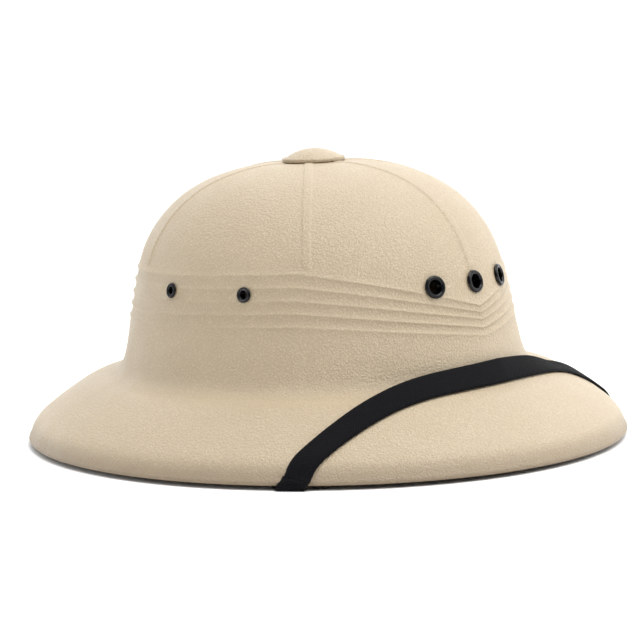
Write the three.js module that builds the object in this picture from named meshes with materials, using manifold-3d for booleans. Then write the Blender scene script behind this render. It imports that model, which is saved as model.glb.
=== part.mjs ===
// A pith helmet: one moulded shell of crown and brim, a button on top, seven ringed vent holes and a chin
// strap that is worn up over the front of the brim. Its ends run under the rim to pins inside the crown.
// Millimetres, +Z up. The front of the helmet faces -Y and the wearer's left is +X. The origin is under the
// middle of the helmet, on the surface that it stands on.

import * as THREE from "three";
import { mergeVertices } from "three/addons/utils/BufferGeometryUtils.js";
import Module from "manifold-3d";

const wasm = await Module();
wasm.setup();

// ---------- Driving dimensions ----------

const GAP = 0.3; // between neighbouring pieces
const WALL = 2.2; // the shell's thickness

const STRAP_WIDTH = 12.4;
const STRAP_THICKNESS = 1.3;
const STRAP_GAP = 0.5; // between the strap and the shell
const STRAP_SLACK = 0.4; // more room where the strap turns over the rim and runs inside
const RIM_LIFT = STRAP_THICKNESS + STRAP_GAP + STRAP_SLACK; // the strap passes under the rim, and lifts it

// The shell's outer face, a row for each level section. Every section is an ellipse: its height is taken
// from the rim's lower edge, and middle is where its centre lies along Y.
const SECTIONS = [
  { height: 0.0, halfLength: 158.3, halfWidth: 134.1, middle: 0.0 },
  { height: 1.3, halfLength: 159.0, halfWidth: 134.8, middle: 0.0 },
  { height: 2.6, halfLength: 158.3, halfWidth: 134.1, middle: 0.0 },
  { height: 5.5, halfLength: 157.2, halfWidth: 133.1, middle: 0.0 },
  { height: 8.0, halfLength: 155.9, halfWidth: 132.0, middle: -0.1 },
  { height: 10.6, halfLength: 153.8, halfWidth: 130.2, middle: -0.2 },
  { height: 16.0, halfLength: 147.2, halfWidth: 124.4, middle: -0.4 },
  { height: 24.0, halfLength: 135.3, halfWidth: 113.9, middle: -0.8 },
  { height: 28.4, halfLength: 127.8, halfWidth: 107.3, middle: -1.1 },
  { height: 30.6, halfLength: 122.6, halfWidth: 102.7, middle: -1.3 },
  { height: 32.2, halfLength: 115.4, halfWidth: 96.4, middle: -1.5 },
  { height: 34.8, halfLength: 110.0, halfWidth: 91.6, middle: -1.6 },
  { height: 38.0, halfLength: 107.5, halfWidth: 89.6, middle: -1.6 },
  { height: 42.0, halfLength: 106.0, halfWidth: 88.4, middle: -1.6 },
  { height: 50.0, halfLength: 104.0, halfWidth: 86.8, middle: -1.7 },
  { height: 59.0, halfLength: 102.3, halfWidth: 85.3, middle: -1.7 },
  { height: 72.5, halfLength: 99.5, halfWidth: 83.0, middle: -1.8 },
  { height: 85.0, halfLength: 96.4, halfWidth: 80.4, middle: -1.9 },
  { height: 98.0, halfLength: 91.2, halfWidth: 76.0, middle: -2.0 },
  { height: 108.0, halfLength: 84.3, halfWidth: 70.3, middle: -2.2 },
  { height: 117.5, halfLength: 74.2, halfWidth: 61.9, middle: -2.3 },
  { height: 125.0, halfLength: 61.6, halfWidth: 51.5, middle: -2.4 },
  { height: 131.0, halfLength: 43.3, halfWidth: 37.0, middle: -2.5 },
  { height: 133.5, halfLength: 29.0, halfWidth: 26.0, middle: -2.5 },
  { height: 134.2, halfLength: 16.6, halfWidth: 16.6, middle: -2.5 },
];
const OUTSIDE_ONLY = [0, 1.3, 2.6, 10.6, 28.4, 50, 72.5]; // heights that the inner face has no section at
const CROWN_TOP = SECTIONS[SECTIONS.length - 1];
const BELOW_FOLDS = 50; // height of the highest section under the folds
const ABOVE_FOLDS = 98; // height of the lowest section over them
const RIM_BASE_WIDTH = 2.4; // of the flat ring that the rim stands on

// Folds moulded round the crown. Each ridge is level round the sides and dips to a V at the front.
const FOLDS = [
  { sideHeight: 88.0, frontHeight: 67.3 },
  { sideHeight: 81.9, frontHeight: 64.2 },
  { sideHeight: 75.8, frontHeight: 61.0 },
  { sideHeight: 69.9, frontHeight: 57.1 },
  { sideHeight: 64.0, frontHeight: 53.6 },
];
const FOLD_SPAN = 60; // degrees from the front to where the dip ends
const FOLD_REAR_DROP = 2.5;
const FOLD_RAISE = 0.45;
const FOLD_SINK = 0.3;
const FOLD_MARGIN = 1.6; // from the outer ridges to where the plain crown begins

// Raised ribs that run from the button down to the folds, at these angles from the front.
const RIB_ANGLES = [-123, -57, 0, 57, 123, 180];
const RIB_RAISE = 0.45;
const RIB_FLAT = 1.7; // half the rib's flat top
const RIB_HALF_WIDTH = 2.5;
const RIB_MAX_TURN = 10; // degrees: how far a rib's edge may turn round the small rings at the top
const SECTOR_STEP = 9; // degrees, about, between the columns of the shell's faces

const BUTTON = { radius: 15.5, height: 6.6, edge: 1.2, stud: 4.0, head: 5.5, headHeight: 1.2 };

const LARGE_EYELET = { ring: 5.4, hole: 3.3, height: 1.3, segments: 16 };
const SMALL_EYELET = { ring: 3.7, hole: 1.75, height: 1.1, segments: 12 };
const EYELET_HEIGHT = 78.7;
const EYELET_TUBE = 0.5; // wall of the eyelet's tube
const EYELET_SEAT = 0.2; // depth of the flat that each ring lies on
const INNER_FACET_ROOM = 0.6; // the crown's inner faces are flat, and stand in this far from its true curve
const EYELETS = [
  { name: "eyelet_front_centre", angle: 0, size: LARGE_EYELET },
  { name: "eyelet_front_left", angle: 17.4, size: LARGE_EYELET },
  { name: "eyelet_front_right", angle: -17.4, size: LARGE_EYELET },
  { name: "eyelet_left_front", angle: 76.1, size: SMALL_EYELET },
  { name: "eyelet_left_rear", angle: 103.9, size: SMALL_EYELET },
  { name: "eyelet_right_front", angle: -76.1, size: SMALL_EYELET },
  { name: "eyelet_right_rear", angle: -103.9, size: SMALL_EYELET },
];

// The strap's middle line, seen from above, lies across the front of the crown and bends back on each side
// to cross the rim at rimX. It lies further forward on the wearer's left. endAngle is the angle, in degrees
// from the front, of each pinned end.
const STRAP_FRONT_Y = -112.5;
const STRAP_BEND = 30; // how far from the middle the bend reaches
// At the front the strap stands on its lower edge and leans back: MIDDLE_LEAN degrees from level at the
// middle, and lean degrees at leanX. From leaningX to lyingX it eases down to lie on the brim.
const STRAP_SIDES = [
  {
    name: "left", side: 1, slope: 0.14, rimX: 103, endAngle: 61,
    lean: 30, leanX: 50, leaningX: 20, lyingX: 85,
  },
  {
    name: "right", side: -1, slope: 0.318, rimX: 114, endAngle: 69,
    lean: 47, leanX: 60, leaningX: 55, lyingX: 108,
  },
];
const MIDDLE_LEAN = 57;
const STRAP_BED_START = 59; // height that the bed under it starts from, outside the crown
const STRAP_BED_FOOT = 27; // height that it reaches the crown's foot at, under the brim
const STRAP_BED_TOP = 86; // height that it ends at, inside the crown
const STRAP_COLUMNS = 5; // faces across its width
const STRAP_CROWDING = 1.6; // how much closer its rows of faces are towards the rim
const STRAP_STEPS = { front: 18, wrap: 14, inside: 16 }; // rows of faces on each half
const STRAP_WRAP_LENGTH = 20; // of the stretch that turns round the rim
const STRAP_BED_SPARE = 22; // how far the bed runs on past the strap's end
const PIN = { head: 4.5, headHeight: 1.2, shank: 1.7, depth: 1.0, fromEnd: 8 };

const TAN = new THREE.MeshStandardMaterial({ color: 0xcdb996, roughness: 0.5, metalness: 0 });
const BLACK_GLOSS = new THREE.MeshStandardMaterial({ color: 0x0b0b0c, roughness: 0.2, metalness: 0.3 });
const BLACK_WEBBING = new THREE.MeshStandardMaterial({ color: 0x17171a, roughness: 0.9, metalness: 0 });
const PLAIN_METAL = new THREE.MeshStandardMaterial({ color: 0x8d8d8f, roughness: 0.35, metalness: 1 });

// ---------- Sections of the shell ----------

const radians = THREE.MathUtils.degToRad;
const KEYS = ["height", "halfLength", "halfWidth", "middle"];

function mixSections(low, high, share) {
  return Object.fromEntries(KEYS.map((key) => [key, THREE.MathUtils.lerp(low[key], high[key], share)]));
}

// The section at a height of the crown or brim, between the rows of the table.
function sectionAt(height) {
  const above = SECTIONS.findIndex((section) => section.height >= height);
  const high = SECTIONS[Math.max(above, 1)];
  const low = SECTIONS[Math.max(above, 1) - 1];
  return mixSections(low, high, (height - low.height) / (high.height - low.height));
}

// A section moved square to the shell's face. The distance is positive outwards, and before and after are
// the sections on either side, which give the face's slope.
function moveSection(section, before, after, distance) {
  const run = after.halfLength + after.halfWidth - before.halfLength - before.halfWidth;
  const rise = 2 * (after.height - before.height);
  const length = Math.hypot(run, rise);
  const outward = (distance * rise) / length;
  return {
    height: section.height - (distance * run) / length,
    halfLength: section.halfLength + outward,
    halfWidth: section.halfWidth + outward,
    middle: section.middle,
  };
}

function pointOn(section, angle) {
  return new THREE.Vector3(
    section.halfWidth * Math.sin(angle),
    section.middle - section.halfLength * Math.cos(angle),
    section.height + RIM_LIFT,
  );
}

// ---------- Solids ----------

function toManifold(geometry) {
  const bare = geometry.clone();
  bare.deleteAttribute("normal");
  bare.deleteAttribute("uv");
  const merged = mergeVertices(bare, 1e-4);
  const vertProperties = new Float32Array(merged.attributes.position.array);
  const triVerts = new Uint32Array(merged.index.array);
  return new wasm.Manifold(new wasm.Mesh({ numProp: 3, vertProperties, triVerts }));
}

function toGeometry(manifold) {
  const mesh = manifold.getMesh();
  const geometry = new THREE.BufferGeometry();
  geometry.setAttribute("position", new THREE.BufferAttribute(mesh.vertProperties, 3));
  geometry.setIndex(new THREE.BufferAttribute(mesh.triVerts, 1));
  return geometry;
}

// A solid skinned over loops of points, all of one length. It is either a ring of loops or has two flat ends.
function skinLoops(loops, isRing) {
  const count = loops[0].length;
  const positions = loops.flat().flatMap((point) => point.toArray());
  const indices = [];
  const spans = isRing ? loops.length : loops.length - 1;
  for (let span = 0; span < spans; span += 1) {
    const near = span * count;
    const far = ((span + 1) % loops.length) * count;
    for (let i = 0; i < count; i += 1) {
      const j = (i + 1) % count;
      indices.push(near + i, near + j, far + j, near + i, far + j, far + i);
    }
  }
  if (!isRing) {
    const last = (loops.length - 1) * count;
    const half = count / 2;
    for (let i = 0; i < half - 1; i += 1) {
      const j = count - 1 - i;
      indices.push(i, j, i + 1, i + 1, j, j - 1);
      indices.push(last + i, last + i + 1, last + j, last + i + 1, last + j - 1, last + j);
    }
  }
  const geometry = new THREE.BufferGeometry();
  geometry.setAttribute("position", new THREE.Float32BufferAttribute(positions, 3));
  geometry.setIndex(indices);
  return geometry;
}

// A turned piece about Z, from its outline as [radius, height] pairs.
function turned(outline, segments) {
  const points = outline.map(([radius, height]) => new THREE.Vector2(radius, height));
  return new THREE.LatheGeometry(points, segments).rotateX(Math.PI / 2);
}

function cylinder(radius, bottom, top, segments) {
  return new THREE.CylinderGeometry(radius, radius, top - bottom, segments)
    .rotateX(Math.PI / 2)
    .translate(0, 0, (top + bottom) / 2);
}

// A frame at a point, with its Z along the outward direction and its Y as near upright as that leaves.
function placement(point, outward) {
  const side = new THREE.Vector3(0, 0, 1).cross(outward).normalize();
  const up = new THREE.Vector3().crossVectors(outward, side);
  return new THREE.Matrix4().makeBasis(side, up, outward).setPosition(point);
}

// ---------- Shell ----------

// Height of a fold's ridge at an angle from the front.
function foldHeight(fold, angle) {
  const turn = Math.abs(angle);
  const span = radians(FOLD_SPAN);
  if (turn <= span) {
    return THREE.MathUtils.lerp(fold.frontHeight, fold.sideHeight, Math.sin(turn) / Math.sin(span));
  }
  const share = THREE.MathUtils.smoothstep(turn, span, 2 * span);
  return fold.sideHeight - FOLD_REAR_DROP * share;
}

// The lines round the shell's outer face, from the rim to the crown's top. Each has its height at an angle,
// how far it stands off the plain crown, and what share of the ribs' height it carries.
function outerLines() {
  const level = (height) => ({ heightAt: () => height, raise: 0, rib: 0 });
  const firstFold = FOLDS[0];
  const lastFold = FOLDS[FOLDS.length - 1];
  const bandTop = (angle) => foldHeight(firstFold, angle) + FOLD_MARGIN;
  const lower = SECTIONS.filter((section) => section.height <= BELOW_FOLDS);
  const lines = lower.map((section) => level(section.height));
  lines.push({ heightAt: (angle) => foldHeight(lastFold, angle) - FOLD_MARGIN, raise: 0, rib: 0 });
  for (let i = FOLDS.length - 1; i >= 0; i -= 1) {
    lines.push({ heightAt: (angle) => foldHeight(FOLDS[i], angle), raise: FOLD_RAISE, rib: 0 });
    if (i > 0) {
      const valley = (angle) => (foldHeight(FOLDS[i], angle) + foldHeight(FOLDS[i - 1], angle)) / 2;
      lines.push({ heightAt: valley, raise: -FOLD_SINK, rib: 0 });
    }
  }
  lines.push({ heightAt: bandTop, raise: 0, rib: 0 });
  const upper = SECTIONS.filter((section) => section.height >= ABOVE_FOLDS);
  for (const share of [1 / 3, 2 / 3]) {
    const between = (angle) => THREE.MathUtils.lerp(bandTop(angle), upper[0].height, share);
    lines.push({ heightAt: between, raise: 0, rib: 1 });
  }
  for (const section of upper) {
    lines.push({ heightAt: () => section.height, raise: 0, rib: section === CROWN_TOP ? 0 : 1 });
  }
  return lines;
}

// The columns of the shell's faces. Each starts from a rib's middle, an offset in millimetres beside it, and
// a share of the way to the next rib, so that the ribs keep their width from brim to button.
function shellColumns() {
  const columns = [];
  const offsets = [-RIB_HALF_WIDTH, -RIB_FLAT, 0, RIB_FLAT, RIB_HALF_WIDTH];
  RIB_ANGLES.forEach((ribAngle, index) => {
    const isLast = index === RIB_ANGLES.length - 1;
    const nextAngle = isLast ? RIB_ANGLES[0] + 360 : RIB_ANGLES[index + 1];
    for (const offset of offsets) {
      columns.push({ ribAngle, nextAngle, offset, share: 0, rib: Math.abs(offset) <= RIB_FLAT ? 1 : 0 });
    }
    const steps = Math.round((nextAngle - ribAngle) / SECTOR_STEP);
    for (let step = 1; step < steps; step += 1) {
      columns.push({ ribAngle, nextAngle, offset: RIB_HALF_WIDTH, share: step / steps, rib: 0 });
    }
  });
  return columns;
}

function columnAngle(column, section) {
  const limit = radians(RIB_MAX_TURN);
  const reach = (angle, offset) => {
    const speed = Math.hypot(section.halfWidth * Math.cos(angle), section.halfLength * Math.sin(angle));
    return THREE.MathUtils.clamp(offset / speed, -limit, limit);
  };
  const start = radians(column.ribAngle);
  const end = radians(column.nextAngle);
  const from = start + reach(start, column.offset);
  const to = end - reach(end, RIB_HALF_WIDTH);
  const angle = THREE.MathUtils.lerp(from, to, column.share);
  return angle > Math.PI ? angle - 2 * Math.PI : angle;
}

function outerLoop(line, columns) {
  return columns.map((column) => {
    const rough = columnAngle(column, sectionAt(line.heightAt(radians(column.ribAngle))));
    const height = line.heightAt(rough);
    const angle = columnAngle(column, sectionAt(height));
    const raise = line.raise + RIB_RAISE * line.rib * column.rib;
    const before = sectionAt(Math.max(height - 1, 0));
    const after = sectionAt(Math.min(height + 1, CROWN_TOP.height));
    const plain = sectionAt(height);
    return pointOn(raise === 0 ? plain : moveSection(plain, before, after, raise), angle);
  });
}

function plainLoop(section, columns) {
  return columns.map((column) => pointOn(section, columnAngle(column, section)));
}

function rimInside() {
  const foot = SECTIONS[0];
  return {
    ...foot,
    halfLength: foot.halfLength - RIM_BASE_WIDTH,
    halfWidth: foot.halfWidth - RIM_BASE_WIDTH,
  };
}

// The shell's inner face, from the crown's top down to the rim.
function innerSections() {
  const picked = SECTIONS.filter((section) => !OUTSIDE_ONLY.includes(section.height));
  const inner = picked.map((section, index) => {
    const before = picked[Math.max(index - 1, 0)];
    const after = picked[Math.min(index + 1, picked.length - 1)];
    return moveSection(section, before, after, -WALL);
  });
  const lastInner = inner[inner.length - 1];
  lastInner.height = CROWN_TOP.height - WALL;
  lastInner.halfLength = CROWN_TOP.halfLength;
  lastInner.halfWidth = CROWN_TOP.halfWidth;
  return [...inner.reverse(), rimInside()];
}

function studHole(height) {
  const radius = BUTTON.stud + GAP + 0.1;
  return { height, halfLength: radius, halfWidth: radius, middle: CROWN_TOP.middle };
}

function shellBody() {
  const columns = shellColumns();
  const loops = outerLines().map((line) => outerLoop(line, columns));
  loops.push(plainLoop(studHole(CROWN_TOP.height), columns));
  loops.push(plainLoop(studHole(CROWN_TOP.height - WALL), columns));
  for (const section of innerSections()) {
    loops.push(plainLoop(section, columns));
  }
  return skinLoops(loops, true);
}

// ---------- Eyelets ----------

// Where an eyelet sits on the crown, with its axis square to the crown's face.
function eyeletPlacement(angleDegrees) {
  const angle = radians(angleDegrees);
  const section = sectionAt(EYELET_HEIGHT);
  const point = pointOn(section, angle);
  const round = new THREE.Vector3(
    section.halfWidth * Math.cos(angle), section.halfLength * Math.sin(angle), 0);
  const above = pointOn(sectionAt(EYELET_HEIGHT + 2), angle);
  const upward = above.sub(pointOn(sectionAt(EYELET_HEIGHT - 2), angle));
  return placement(point, round.cross(upward).normalize());
}

function eyeletRing(size) {
  const under = GAP - EYELET_SEAT;
  const inside = -WALL - GAP - INNER_FACET_ROOM;
  const tube = size.hole + EYELET_TUBE;
  const crest = (size.hole + size.ring) / 2;
  const backRing = (tube + size.ring) / 2 + GAP;
  return turned([
    [tube, under],
    [tube, inside],
    [backRing, inside],
    [backRing, inside - EYELET_TUBE],
    [size.hole, inside - EYELET_TUBE],
    [size.hole, size.height - 0.5],
    [crest - 0.5, size.height],
    [crest + 0.5, size.height],
    [size.ring, size.height - 0.7],
    [size.ring, under],
    [tube, under],
  ].reverse(), size.segments);
}

// What is cut from the shell for an eyelet: a hole for its tube, and a flat that its ring lies on.
function eyeletCuts(size) {
  return [
    cylinder(size.hole + EYELET_TUBE + GAP, -3 * WALL, 3, size.segments),
    cylinder(size.ring + GAP, -EYELET_SEAT, 3, size.segments),
  ];
}

// ---------- Button ----------

function crownButton() {
  const seat = GAP;
  const under = -WALL - GAP;
  const { radius, height, edge, stud, head, headHeight } = BUTTON;
  const steps = 6;
  const dome = Array.from({ length: steps + 1 }, (_, i) => {
    const turn = (Math.PI / 2) * (i / steps);
    return [radius * Math.cos(turn), edge + (height - edge) * Math.sin(turn)];
  });
  dome[steps][0] = 0;
  return turned([
    [0, under - headHeight],
    [head, under - headHeight],
    [head, under],
    [stud, under],
    [stud, seat],
    [radius, seat],
    ...dome,
  ], 24);
}

// ---------- Chin strap ----------

// The bed is the face that the strap's middle layer follows: down the crown and over the brim, round the
// rim's bead, straight under the brim to the foot of the crown, and up its inner face.
function strapBed() {
  const stand = STRAP_GAP + STRAP_THICKNESS / 2;
  const [footOutside, beadSide] = SECTIONS;
  const rows = [];
  const outside = SECTIONS.filter(({ height }) => height > beadSide.height && height <= STRAP_BED_START);
  for (let i = outside.length - 1; i >= 0; i -= 1) {
    const before = outside[Math.max(i - 1, 0)];
    const after = outside[Math.min(i + 1, outside.length - 1)];
    rows.push(moveSection(outside[i], before, after, stand));
  }
  const room = stand + STRAP_SLACK;
  const edges = [
    { section: beadSide, turns: [0] },
    { section: footOutside, turns: [-30, -60, -90] },
    { section: rimInside(), turns: [-90, -120] },
  ];
  for (const { section, turns } of edges) {
    for (const turn of turns) {
      const outward = room * Math.cos(radians(turn));
      rows.push({
        height: section.height + room * Math.sin(radians(turn)),
        halfLength: section.halfLength + outward,
        halfWidth: section.halfWidth + outward,
        middle: section.middle,
      });
    }
  }
  const inner = innerSections().reverse().filter(({ height }) => (
    height > STRAP_BED_FOOT && height < STRAP_BED_TOP
  ));
  inner.forEach((section, index) => {
    const before = inner[Math.max(index - 1, 0)];
    const after = inner[Math.min(index + 1, inner.length - 1)];
    rows.push(moveSection(section, before, after, -room));
  });
  return rows;
}

const BED = strapBed();
const BED_AT = [0];
for (let i = 1; i < BED.length; i += 1) {
  const out = (BED[i].halfLength + BED[i].halfWidth - BED[i - 1].halfLength - BED[i - 1].halfWidth) / 2;
  BED_AT.push(BED_AT[i - 1] + Math.hypot(out, BED[i].height - BED[i - 1].height));
}
const RIM_ROW = BED.findIndex((row, index) => index > 0 && row.height < BED[index - 1].height
  && row.halfLength >= Math.max(...BED.map((other) => other.halfLength)));

function bedSection(along) {
  const after = Math.min(Math.max(BED_AT.findIndex((value) => value >= along), 1), BED.length - 1);
  const share = (along - BED_AT[after - 1]) / (BED_AT[after] - BED_AT[after - 1]);
  return mixSections(BED[after - 1], BED[after], share);
}

// A place on the bed has a distance along it, from the crown to the strap's end, and an angle from the front.
function bedPoint(place) {
  return pointOn(bedSection(place.along), place.angle);
}

function bedFrame(place) {
  const step = 1.2;
  const turn = 0.01;
  const ahead = bedPoint({ ...place, along: place.along + step });
  const behind = bedPoint({ ...place, along: place.along - step });
  const alongStep = ahead.sub(behind).divideScalar(2 * step);
  const left = bedPoint({ ...place, angle: place.angle + turn });
  const right = bedPoint({ ...place, angle: place.angle - turn });
  const roundStep = left.sub(right).divideScalar(2 * turn);
  const normal = new THREE.Vector3().crossVectors(alongStep, roundStep).normalize();
  return { alongStep, roundStep, normal };
}

// The place on the outer part of the bed that lies at x and y, seen from above.
function placeAbove(x, y) {
  let low = 0;
  let high = BED_AT[RIM_ROW];
  for (let i = 0; i < 40; i += 1) {
    const along = (low + high) / 2;
    const section = bedSection(along);
    const reach = Math.hypot(x / section.halfWidth, (y - section.middle) / section.halfLength);
    if (reach > 1) low = along;
    else high = along;
  }
  const section = bedSection(low);
  return {
    along: low,
    angle: Math.atan2(x / section.halfWidth, -(y - section.middle) / section.halfLength),
  };
}

// Half of the strap's middle line, as places on the bed from the front to the pinned end. Both halves are
// worked out on the wearer's left.
function strapPlaces({ slope, rimX, endAngle }) {
  const { front, wrap, inside } = STRAP_STEPS;
  const places = [];
  for (let i = 0; i <= front; i += 1) {
    const x = rimX * (1 - (1 - i / front) ** STRAP_CROWDING);
    const y = STRAP_FRONT_Y + slope * (Math.hypot(x, STRAP_BEND) - STRAP_BEND);
    places.push(placeAbove(x, y));
  }
  const last = places[places.length - 1];
  const length = BED_AT[BED_AT.length - 1] - STRAP_BED_SPARE - last.along;
  const turn = radians(endAngle) - last.angle;
  for (let i = 1; i <= wrap + inside; i += 1) {
    const run = i <= wrap
      ? (STRAP_WRAP_LENGTH * i) / wrap
      : STRAP_WRAP_LENGTH + ((length - STRAP_WRAP_LENGTH) * (i - wrap)) / inside;
    places.push({ along: last.along + run, angle: last.angle + turn * (1 - (1 - run / length) ** 2) });
  }
  return places;
}

// How far the strap leans back from level at a distance x from the middle, where its bed leans by bedLean.
function strapLean(half, x, bedLean) {
  const lean = radians(THREE.MathUtils.lerp(MIDDLE_LEAN, half.lean, Math.min(x / half.leanX, 1)));
  const hold = 1 - THREE.MathUtils.smoothstep(x, half.leaningX, half.lyingX);
  return bedLean + Math.max(lean - bedLean, 0) * hold;
}

// The strap's middle layer, bent over the bed: a row of points across its width at a place on the middle
// line. Where the bed is hollow the strap spans it straight.
function strapRow(half, places, index) {
  const before = bedPoint(places[Math.max(index - 1, 0)]);
  const after = bedPoint(places[Math.min(index + 1, places.length - 1)]);
  const tangent = after.sub(before).normalize();
  const place = places[index];
  const { alongStep, roundStep, normal } = bedFrame(place);
  const across = new THREE.Vector3().crossVectors(normal, tangent).normalize();
  const aa = alongStep.dot(alongStep);
  const ar = alongStep.dot(roundStep);
  const rr = roundStep.dot(roundStep);
  const da = across.dot(alongStep);
  const dr = across.dot(roundStep);
  const scale = aa * rr - ar * ar;
  const alongRate = (da * rr - dr * ar) / scale;
  const roundRate = (dr * aa - da * ar) / scale;
  const placeAt = (offset) => ({
    along: place.along + alongRate * offset,
    angle: place.angle + roundRate * offset,
  });
  const halfWidth = STRAP_WIDTH / 2;
  const spread = bedPoint(placeAt(halfWidth)).distanceTo(bedPoint(placeAt(-halfWidth)));
  const pastRim = place.along - BED_AT[RIM_ROW];
  const isOnBead = pastRim > -halfWidth && pastRim < 2 * halfWidth;
  const reach = isOnBead ? halfWidth : halfWidth * (STRAP_WIDTH / spread);
  const upper = bedPoint(placeAt(reach));
  const lower = bedPoint(placeAt(-reach));
  const chord = upper.clone().sub(lower);
  const width = chord.length();
  const bedLean = Math.asin(chord.z / width);
  const isOutside = place.along < BED_AT[RIM_ROW];
  const lean = isOutside ? strapLean(half, lower.x, bedLean) : bedLean;
  if (lean > bedLean) {
    chord.setZ(0).setLength(width * Math.cos(lean)).setZ(width * Math.sin(lean));
  }
  const flatness = THREE.MathUtils.smoothstep(lean - bedLean, 0, 0.1);
  const slant = chord.clone().normalize();
  const row = [];
  for (let i = 0; i <= STRAP_COLUMNS; i += 1) {
    const share = i / STRAP_COLUMNS;
    const at = placeAt(reach * (1 - 2 * share));
    const onBed = bedPoint(at);
    const outward = bedFrame(at).normal;
    const point = lower.clone().addScaledVector(chord, 1 - share);
    point.addScaledVector(outward, Math.max(onBed.sub(point).dot(outward), 0));
    outward.addScaledVector(slant, -flatness * outward.dot(slant)).normalize();
    row.push({ point, outward });
  }
  return row;
}

// Both faces of the strap at one row. It lies flat on the surface where it passes under the rim.
function strapLoop(row) {
  const face = (side) => row.map(({ point, outward }) => {
    const moved = point.clone().addScaledVector(outward, (side * STRAP_THICKNESS) / 2);
    return moved.setZ(Math.max(moved.z, 0));
  });
  return [...face(1), ...face(-1).reverse()];
}

function mirrored(loop) {
  return loop.map((point) => new THREE.Vector3(-point.x, point.y, point.z));
}

function strapBody() {
  const [leftLoops, rightHalf] = STRAP_SIDES.map((half) => {
    const places = strapPlaces(half);
    return places.map((_, index) => strapLoop(strapRow(half, places, index)));
  });
  const rightLoops = rightHalf.slice(1).map(mirrored);
  return skinLoops([...rightLoops.reverse(), ...leftLoops], false);
}

// ---------- Strap pins ----------

function pinPlacement(half) {
  const places = strapPlaces(half);
  const end = places[places.length - 1];
  const place = { along: end.along - PIN.fromEnd, angle: end.angle };
  const { normal } = bedFrame(place);
  const point = bedPoint(place);
  const mirror = new THREE.Vector3(half.side, 1, 1);
  return placement(point.multiply(mirror), normal.multiply(mirror));
}

function pinBody() {
  const face = STRAP_THICKNESS / 2 + GAP + 0.15;
  const tip = -STRAP_THICKNESS / 2 - STRAP_GAP - STRAP_SLACK - PIN.depth;
  return turned([
    [0, tip],
    [PIN.shank, tip],
    [PIN.shank, face],
    [PIN.head, face],
    [PIN.head, face + PIN.headHeight * 0.5],
    [PIN.head * 0.7, face + PIN.headHeight],
    [0, face + PIN.headHeight],
  ], 14);
}

function pinCut() {
  const tip = -STRAP_THICKNESS / 2 - STRAP_GAP - STRAP_SLACK - PIN.depth - GAP;
  return cylinder(PIN.shank + GAP, tip, STRAP_THICKNESS, 14);
}

// ---------- The helmet ----------

function cutAway(body, cuts) {
  return toGeometry(cuts.reduce((solid, cut) => solid.subtract(toManifold(cut)), toManifold(body)));
}

function addPiece(helmet, name, geometry, material, matrix = new THREE.Matrix4()) {
  const piece = new THREE.Mesh(geometry, material);
  piece.name = name;
  piece.applyMatrix4(matrix);
  helmet.add(piece);
}

const helmet = new THREE.Group();

const eyeletHoles = EYELETS.flatMap(({ angle, size }) => {
  const matrix = eyeletPlacement(angle);
  return eyeletCuts(size).map((cut) => cut.applyMatrix4(matrix));
});
const pinHoles = STRAP_SIDES.map((half) => pinCut().applyMatrix4(pinPlacement(half)));

addPiece(helmet, "shell", cutAway(shellBody(), [...eyeletHoles, ...pinHoles]), TAN);

const buttonPlace = new THREE.Matrix4().makeTranslation(0, CROWN_TOP.middle, CROWN_TOP.height + RIM_LIFT);
addPiece(helmet, "crown_button", crownButton(), TAN, buttonPlace);

for (const { name, angle, size } of EYELETS) {
  addPiece(helmet, name, eyeletRing(size), BLACK_GLOSS, eyeletPlacement(angle));
}

addPiece(helmet, "chin_strap", cutAway(strapBody(), pinHoles), BLACK_WEBBING);

for (const half of STRAP_SIDES) {
  addPiece(helmet, `strap_pin_${half.name}`, pinBody(), PLAIN_METAL, pinPlacement(half));
}

export default helmet;
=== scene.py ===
# Looks of the pith helmet: its moulded shell with folds, ribs and grain, the button, the black vent rings,
# the woven chin strap and its pins, on a pale floor in soft studio light. Metres; tables are in millimetres.

import math

import bmesh
import bpy
import numpy as np
from mathutils import Matrix, Vector


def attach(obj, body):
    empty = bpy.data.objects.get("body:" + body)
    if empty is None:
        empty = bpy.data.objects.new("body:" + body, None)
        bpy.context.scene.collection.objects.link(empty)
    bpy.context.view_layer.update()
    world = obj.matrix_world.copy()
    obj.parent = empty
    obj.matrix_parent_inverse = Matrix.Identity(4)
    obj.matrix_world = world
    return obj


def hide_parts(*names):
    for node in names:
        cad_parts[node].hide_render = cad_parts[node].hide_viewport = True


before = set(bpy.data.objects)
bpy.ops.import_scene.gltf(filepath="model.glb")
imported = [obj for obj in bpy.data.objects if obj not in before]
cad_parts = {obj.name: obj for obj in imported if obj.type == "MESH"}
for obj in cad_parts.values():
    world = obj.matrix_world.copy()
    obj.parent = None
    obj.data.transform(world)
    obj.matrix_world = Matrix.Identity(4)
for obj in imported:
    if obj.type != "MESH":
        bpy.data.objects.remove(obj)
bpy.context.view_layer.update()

MM = 0.001

# ---------- Sizes of the helmet ----------

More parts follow.
